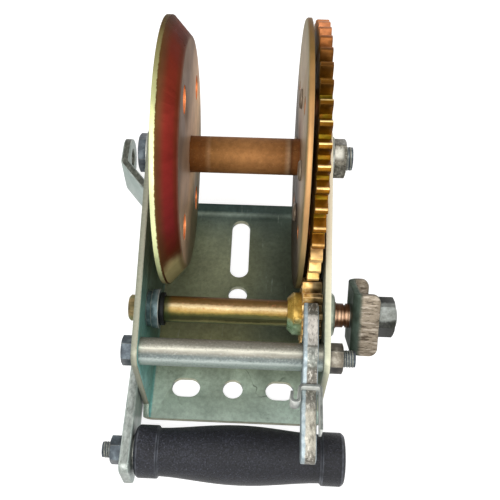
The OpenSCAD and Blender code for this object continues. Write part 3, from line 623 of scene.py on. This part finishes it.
def pawl_finish():
    """Pawl: warm grey torn edges, pale on the arm and the lever, dark at the nose and beside the clip, with a
    line on both sides of the hub, a pale blue rolled-over strip along the left, and smoother sides."""
    f = Finish("sheared_pawl")
    x, y, _ = f.mm()
    side, _, _ = f.facing()
    face = f.tones(f.noise(3 * MM, detail=4, rough=0.65), (0.3, (126, 140, 145)), (0.7, (184, 196, 199)))
    torn = f.noise(1.3 * MM, detail=5, rough=0.7, stretch=(1, 2.2, 1))
    edge = f.tones(
        (y - LEVER_Y) / (NOSE_Y - LEVER_Y) + torn * 0.04 - 0.02,
        (0.03, (104, 100, 91)), (0.1, (176, 171, 157)), (0.3, (184, 179, 164)), (0.36, (128, 125, 116)),
        (0.42, (100, 98, 90)), (0.54, (106, 101, 92)), (0.57, (128, 132, 124)), (0.67, (136, 139, 132)),
        (0.7, (166, 162, 153)), (0.78, (204, 198, 188)), (0.87, (196, 190, 181)), (0.9, (94, 92, 84)),
    )
    edge = f.blend(torn.ramp(0.5, 0.34) * 0.6, edge, srgb(78, 75, 67))
    edge = f.blend(torn.ramp(0.5, 0.66) * 0.6, edge, srgb(228, 224, 212))
    seam = y.band(-53.3, -52.7, 0.5).most(y.band(-62.9, -62.3, 0.5))
    edge = f.blend(seam * 0.7, edge, srgb(74, 72, 64))
    strip = (x + torn * 1.6).ramp(PAWL_X + 3.2, PAWL_X + 2.4)
    colour = f.blend(abs(side).ramp(0.4, 0.7).most(strip), edge, face)
    rough_edge = abs(side).ramp(0.6, 0.25)
    return f.set(
        Base_Color=colour, Metallic=0.5, Specular_Tint=(0.6, 0.6, 0.6), Roughness=torn * 0.25 + 0.28,
        Normal=f.bump(torn * rough_edge, 0.3 * MM, 0.7),
    )


def arm_finish():
    """Crank bar: pale grey green sides, mottled sheared edges, darker towards the far end."""
    f = Finish("crank_bar")
    _, y, _ = f.mm()
    side, _, _ = f.facing()
    mottle = f.noise(2.0 * MM, detail=5, rough=0.7, stretch=(1, 2, 1))
    clouds = f.noise(12 * MM, detail=4)
    face = f.tones(clouds, (0.3, (146, 160, 154)), (0.7, (176, 188, 181)))
    pale = f.tones(mottle, (0.3, (112, 117, 111)), (0.5, (152, 158, 152)), (0.7, (186, 192, 186)))
    dark = f.tones(mottle, (0.3, (58, 60, 53)), (0.5, (88, 90, 81)), (0.7, (128, 130, 119)))
    edge = f.blend(y.ramp(-30.0, 10.0), pale, dark)
    colour = f.blend(abs(side).ramp(0.75, 0.35), face, edge)
    stains = f.noise(6 * MM, detail=5, rough=0.75)
    colour = f.blend(stains.ramp(0.6, 0.74) * 0.4, colour, srgb(92, 102, 92))
    return plate(f, colour, rough=0.38, depth=0.05)


def grip_finish():
    """Charcoal moulded grip: fine leathery grain, small pale specks and dark pits, darker as painted shade
    where it faces down and towards the end away from the crank bar."""
    f = Finish("grip_plastic")
    grain = f.noise(0.8 * MM, detail=5, rough=0.75)
    patches = f.noise(18 * MM, detail=3)
    specks = f.dots(1.7 * MM, 0.2)
    pits = f.dots(2.9 * MM, 0.16)
    mixed = patches * 0.12 + grain * 0.88
    colour = f.tones(mixed, (0.36, (4, 4, 7)), (0.5, (19, 20, 26)), (0.64, (64, 66, 77)))
    colour = f.blend(specks * 0.45, colour, srgb(104, 106, 116))
    colour = f.blend(pits * 0.8, colour, srgb(14, 14, 16))
    x, _, _ = f.mm()
    _, _, up = f.facing()
    # painted shade: darker where it faces down and towards the end away from the crank bar
    painted_shade = (up.ramp(0.6, -0.2) * 0.7).most(x.ramp(-12.0, 36.0) * 0.45)
    colour = f.blend(painted_shade, colour, srgb(7, 7, 10))
    return f.set(
        Base_Color=colour, Metallic=0.0, Specular_IOR_Level=0.3, Roughness=grain * 0.3 + 0.3,
        Normal=f.bump(grain - specks * 0.3 - pits * 0.6, 0.5 * MM, 0.9),
    )


def nylon_finish():
    """Black moulded nylon with a faint matt grain."""
    f = Finish("black_nylon")
    grain = f.noise(0.6 * MM, detail=3)
    return f.set(
        Base_Color=f.tones(grain, (0.35, (12, 14, 14)), (0.65, (22, 24, 24))), Specular_IOR_Level=0.15,
        Roughness=grain * 0.2 + 0.4,
        Normal=f.bump(grain, 0.05 * MM, 0.5),
    )


SHEET = sheet_finish()
SHEET_EDGE = tinted("sheet_edge", (110, 120, 106), (140, 148, 132), (172, 176, 156), size=3 * MM)
SILVER = tinted("bright_zinc", (130, 132, 126), (160, 160, 152), (190, 190, 182))
SPRING = spring_finish()
BLUE = tinted("blue_zinc", (46, 53, 58), (66, 74, 80), (98, 108, 113), size=4 * MM, shade=0.3)
GREY_NUT = tinted("grey_zinc", (70, 65, 55), (102, 95, 82), (146, 140, 126), size=4 * MM, shade=0.75)
NUT_EDGE = tinted("worn_nut_edge", (112, 114, 108), (142, 142, 134), (184, 184, 174), size=3 * MM, shade=0.5)
PALE_NUT = axle_nut_finish()
GRIP_EDGE = tinted("worn_grip_edge", (38, 40, 45), (56, 58, 64), (84, 87, 94), rough=0.5, metal=0.0)
THREAD = tinted("grey_thread", (96, 98, 92), (132, 134, 126), (168, 169, 160), size=2 * MM)
BAR_EDGE = tinted("worn_bar_edge", (132, 144, 138), (158, 168, 162), (186, 192, 184), size=5 * MM)
PINION = pinion_finish()
COPPER_EDGE = tinted("bright_pinion_edge", (190, 148, 100), (214, 180, 130), (232, 208, 166), size=3 * MM)
GREEN = collar_finish()
STEEL_BUSH = tinted("steel_bush", (60, 76, 78), (86, 104, 106), (128, 142, 144))
DARK_BUSH = tinted("dark_bush", (118, 128, 114), (150, 157, 139), (172, 178, 160), rough=0.38)
DULL = tinted("dull_steel", (60, 64, 62), (86, 88, 84), (116, 116, 110), rough=0.42)
RIVET = tinted("mauve_rivet", (116, 102, 86), (132, 118, 101), (148, 134, 116), rough=0.46)
GEAR = gear_finish()
MAUVE = right_flange_finish()
BRACKET = bracket_finish()
PAWL = pawl_finish()
ARM = arm_finish()
BLACK = nylon_finish()

# Finish of each solid, finish of its eased edges, and how far they are eased, in millimetres
DRESS = {
    "frame": (SHEET, SHEET_EDGE, 0.5),
    "axle_bolt": (BLUE, NUT_EDGE, 0.25),
    "axle_washers": (SILVER, SILVER, 0.2),
    "axle_nut": (PALE_NUT, None, 0.4),
    "spacer_tube": (tube_finish(), SILVER, 0.3),
    "spacer_bolt": (BLUE, NUT_EDGE, 0.25),
    "spacer_nut": (GREY_NUT, NUT_EDGE, 0.3),
    "left_bush": (STEEL_BUSH, SILVER, 0.4),
    "right_bush": (DARK_BUSH, DARK_BUSH, 0.35),
    "drum_core": (core_finish(), None, 0.3),
    "left_flange": (left_flange_finish(), None, 0.3),
    "right_flange": (MAUVE, None, 0.3),
    "drum_gear": (GEAR, None, 0.35),
    "gear_rivets": (RIVET, None, 0.3),
    "drum_bushes": (BLACK, None, 0.2),
    "drive_shaft": (shaft_finish(), None, 0.2),
    "pinion": (PINION, COPPER_EDGE, 0.3),
    "pinion_collar": (GREEN, None, 0.3),
    "collar_pin": (GREEN, None, 0.1),
    "thrust_washer": (BLACK, None, 0.4),
    "shaft_clip": (DULL, None, 0.15),
    "crank_bracket": (BRACKET, None, 0.5),
    "bracket_nut": (oily_and_shaded_nut_finish(), None, 0.3),
    "pawl": (PAWL, None, 0.7),
    "pawl_clip": (SPRING, None, 0.25),
    "crank_arm": (ARM, BAR_EDGE, 0.9),
    "grip_bolt": (BLUE, NUT_EDGE, 0.2),
    "grip_washer": (SILVER, SILVER, 0.2),
    "grip_nut": (BLUE, NUT_EDGE, 0.3),
    "grip": (grip_finish(), GRIP_EDGE, 0.5),
}
SHARP = math.radians(25)
FLAT = math.radians(0.5)
MERGE = 0.002 * MM


# Pieces

def eased(node, finish, edge, width):
    """A copy of a solid with rounded edges: triangles merged, flat faces joined into whole ones, and
    every edge that turns by more than SHARP rounded off by width, in its own finish if it has one."""
    mesh = frame["nodes"][node].data.copy()
    work = bmesh.new()
    work.from_mesh(mesh)
    bmesh.ops.remove_doubles(work, verts=work.verts, dist=MERGE)
    bmesh.ops.dissolve_limit(work, angle_limit=FLAT, verts=work.verts, edges=work.edges)
    for face in work.faces:
        face.smooth = True
    work.to_mesh(mesh)
    work.free()
    mesh.materials.clear()
    mesh.materials.append(finish)
    piece = bpy.data.objects.new("dressed_" + node, mesh)
    bpy.context.scene.collection.objects.link(piece)
    bevel = piece.modifiers.new("eased", "BEVEL")
    bevel.limit_method = "ANGLE"
    bevel.angle_limit = SHARP
    bevel.width = width * MM
    bevel.segments = 2
    bevel.harden_normals = True
    if edge:
        mesh.materials.append(edge)
        bevel.material = 1
    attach(piece, frame["nodes"][node]["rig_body"])
    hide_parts(node)
    return piece


def thread(name, node, start, end, radius, pitch, axis, finish):
    """Screw thread on a bolt's free end: a tube along X over turns of the angle. Its radius rises from just
    under the bolt's surface to a ridge once per pitch, following the angle, and fades out at both ends."""
    sides = 48
    rows = int((end - start) / pitch * 14)
    sunk = 0.12
    height = 0.34
    angle = np.linspace(0, 2 * np.pi, sides, endpoint=False)[None, :]
    along = np.linspace(start, end, rows)[:, None]
    phase = (along / pitch - angle / (2 * np.pi)) % 1.0
    ridge = 1 - np.abs(2 * phase - 1)
    fade = np.clip(np.minimum(along - start, end - along) / (0.5 * pitch), 0, 1)
    reach = radius - sunk + fade * (height * np.clip(ridge * 1.5 - 0.25, 0, 1))
    x = along + 0 * angle
    y = axis[0] + reach * np.cos(angle)
    z = axis[1] + reach * np.sin(angle)
    return grid_piece(name, node, np.stack([x, y, z], axis=-1), finish)


def grid_piece(name, node, points, finish):
    """A piece from a grid of points in millimetres, closed round its second direction, both ends capped."""
    rows, turns, _ = points.shape
    spots = points.reshape(-1, 3) * MM
    row = np.arange(rows - 1)[:, None] * turns
    step = np.arange(turns)[None, :]
    after = (step + 1) % turns
    corners = [row + step, row + after, row + turns + after, row + turns + step]
    quads = np.stack(corners, axis=-1).reshape(-1, 4)
    faces = [tuple(int(i) for i in quad) for quad in quads]
    faces.append(tuple(range(turns - 1, -1, -1)))
    faces.append(tuple(range((rows - 1) * turns, rows * turns)))
    mesh = bpy.data.meshes.new(name)
    mesh.from_pydata([tuple(spot) for spot in spots], [], faces)
    work = bmesh.new()
    work.from_mesh(mesh)
    bmesh.ops.recalc_face_normals(work, faces=work.faces)
    work.to_mesh(mesh)
    work.free()
    mesh.polygons.foreach_set("use_smooth", [True] * len(mesh.polygons))
    mesh.materials.append(finish)
    mesh.set_sharp_from_angle(angle=math.radians(50))
    piece = bpy.data.objects.new(name, mesh)
    bpy.context.scene.collection.objects.link(piece)
    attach(piece, frame["nodes"][node]["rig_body"])
    return piece


for node, (finish, edge, width) in DRESS.items():
    solid = frame["nodes"][node].data
    solid.materials.clear()
    solid.materials.append(finish)
    eased(node, finish, edge, width)

# Screw threads: the bolt, start and end along X, radius, pitch and axis, in millimetres
THREADS = {
    "spacer_thread": ("spacer_bolt", 54.2, 59.6, 4.0, 1.25, PIVOT),
    "grip_thread": ("grip_bolt", -63.8, -59.9, 4.0, 1.25, GRIP),
    "axle_thread": ("axle_bolt", 55.2, 58.5, 6.0, 1.75, AXLE),
    "shaft_thread": ("drive_shaft", BRACKET_X + 3.6, BRACKET_X + 8.6, 5.9, 1.75, DRIVE),
}
for name, place in THREADS.items():
    thread(name, *place, THREAD)


# Stage: floor, backdrop light, lamps and camera

WORLD_LIGHT = 0.4
FLOOR_GLOW = 0.8
FLOOR_HALF = 4.0
FLOOR_COLOUR = (0.5, 0.5, 0.5)
FLOOR_Z = -0.4 * MM

# Lamps: place, target and size in metres, power in watts
LAMPS = {
    "front_box": ((-0.1, -0.6, 0.75), (0, 0, 0.05), (1.0, 0.8), 8.5),
    "right_box": ((0.75, 0.1, 0.55), (0, 0, 0.06), (0.4, 0.5), 1.8),
    "left_box": ((-0.75, -0.1, 0.5), (0, 0, 0.06), (0.4, 0.5), 0.7),
}


def seen_directly(nodes):
    """One where a ray comes from the camera, a reflection or a transmission, else nought."""
    rays = nodes.node("ShaderNodeLightPath", out=["Is Camera Ray", "Is Glossy Ray", "Is Transmission Ray"])
    return rays[0].most(rays[1]).most(rays[2])


def studio_world():
    """White where it is seen, dimmer as a source of light."""
    world = bpy.data.worlds.new("studio")
    bpy.context.scene.world = world
    nodes = Nodes(world)
    level = seen_directly(nodes) * (1.0 - WORLD_LIGHT) + WORLD_LIGHT
    glow = nodes.node("ShaderNodeBackground", {}, {"Color": (1, 1, 1), "Strength": level})
    nodes.node("ShaderNodeOutputWorld", {}, {0: glow})


def floor():
    """Pale floor that keeps the shadow and adds enough glow to be white beside it."""
    material = bpy.data.materials.new("floor")
    nodes = Nodes(material)
    matt = nodes.node("ShaderNodeBsdfDiffuse", {}, {"Color": FLOOR_COLOUR})
    glow = nodes.node("ShaderNodeEmission", {}, {"Strength": seen_directly(nodes) * FLOOR_GLOW})
    both = nodes.node("ShaderNodeAddShader", {}, {0: matt, 1: glow})
    nodes.node("ShaderNodeOutputMaterial", {}, {0: both})
    mesh = bpy.data.meshes.new("floor")
    half = FLOOR_HALF
    corners = [(-half, -half, FLOOR_Z), (half, -half, FLOOR_Z), (half, half, FLOOR_Z), (-half, half, FLOOR_Z)]
    mesh.from_pydata(corners, [], [(0, 1, 2, 3)])
    mesh.materials.append(material)
    plane = bpy.data.objects.new("floor", mesh)
    bpy.context.scene.collection.objects.link(plane)


def lamp(name, place, target, size, power):
    """A soft rectangular lamp that points at its target."""
    data = bpy.data.lights.new(name, "AREA")
    data.shape = "RECTANGLE"
    data.size, data.size_y = size
    data.energy = power
    made = bpy.data.objects.new(name, data)
    made.location = place
    made.rotation_euler = (Vector(target) - Vector(place)).to_track_quat("-Z", "Y").to_euler()
    bpy.context.scene.collection.objects.link(made)


def photo_camera():
    """Pinhole camera: level view along +Y, tipped down, then turned about Z and about its own axis."""
    tip = math.radians(CAMERA_ELEVATION)
    turn = Matrix.Rotation(math.radians(CAMERA_YAW), 3, "Z")
    ahead = turn @ Vector((0, math.cos(tip), -math.sin(tip)))
    up = turn @ Vector((0, math.sin(tip), math.cos(tip)))
    right = turn @ Vector((1, 0, 0))
    roll = math.radians(CAMERA_ROLL)
    rolled_right = math.cos(roll) * right + math.sin(roll) * up
    rolled_up = -math.sin(roll) * right + math.cos(roll) * up
    data = bpy.data.cameras.new("photo_camera")
    data.sensor_width = SENSOR_MM
    data.sensor_fit = "HORIZONTAL"
    data.lens = FOCAL_PX * SENSOR_MM / IMAGE_PX
    data.shift_x = 0.5 - AXIS_PX[0] / IMAGE_PX
    data.shift_y = AXIS_PX[1] / IMAGE_PX - 0.5
    data.clip_start = 0.01
    camera = bpy.data.objects.new("photo_camera", data)
    axes = Matrix((rolled_right, rolled_up, -ahead)).transposed().to_4x4()
    camera.matrix_world = Matrix.Translation(CAMERA_PLACE) @ axes
    bpy.context.scene.collection.objects.link(camera)
    bpy.context.scene.camera = camera


studio_world()
floor()
for name, setting in LAMPS.items():
    lamp(name, *setting)
photo_camera()
bpy.context.scene.view_settings.view_transform = "Standard"
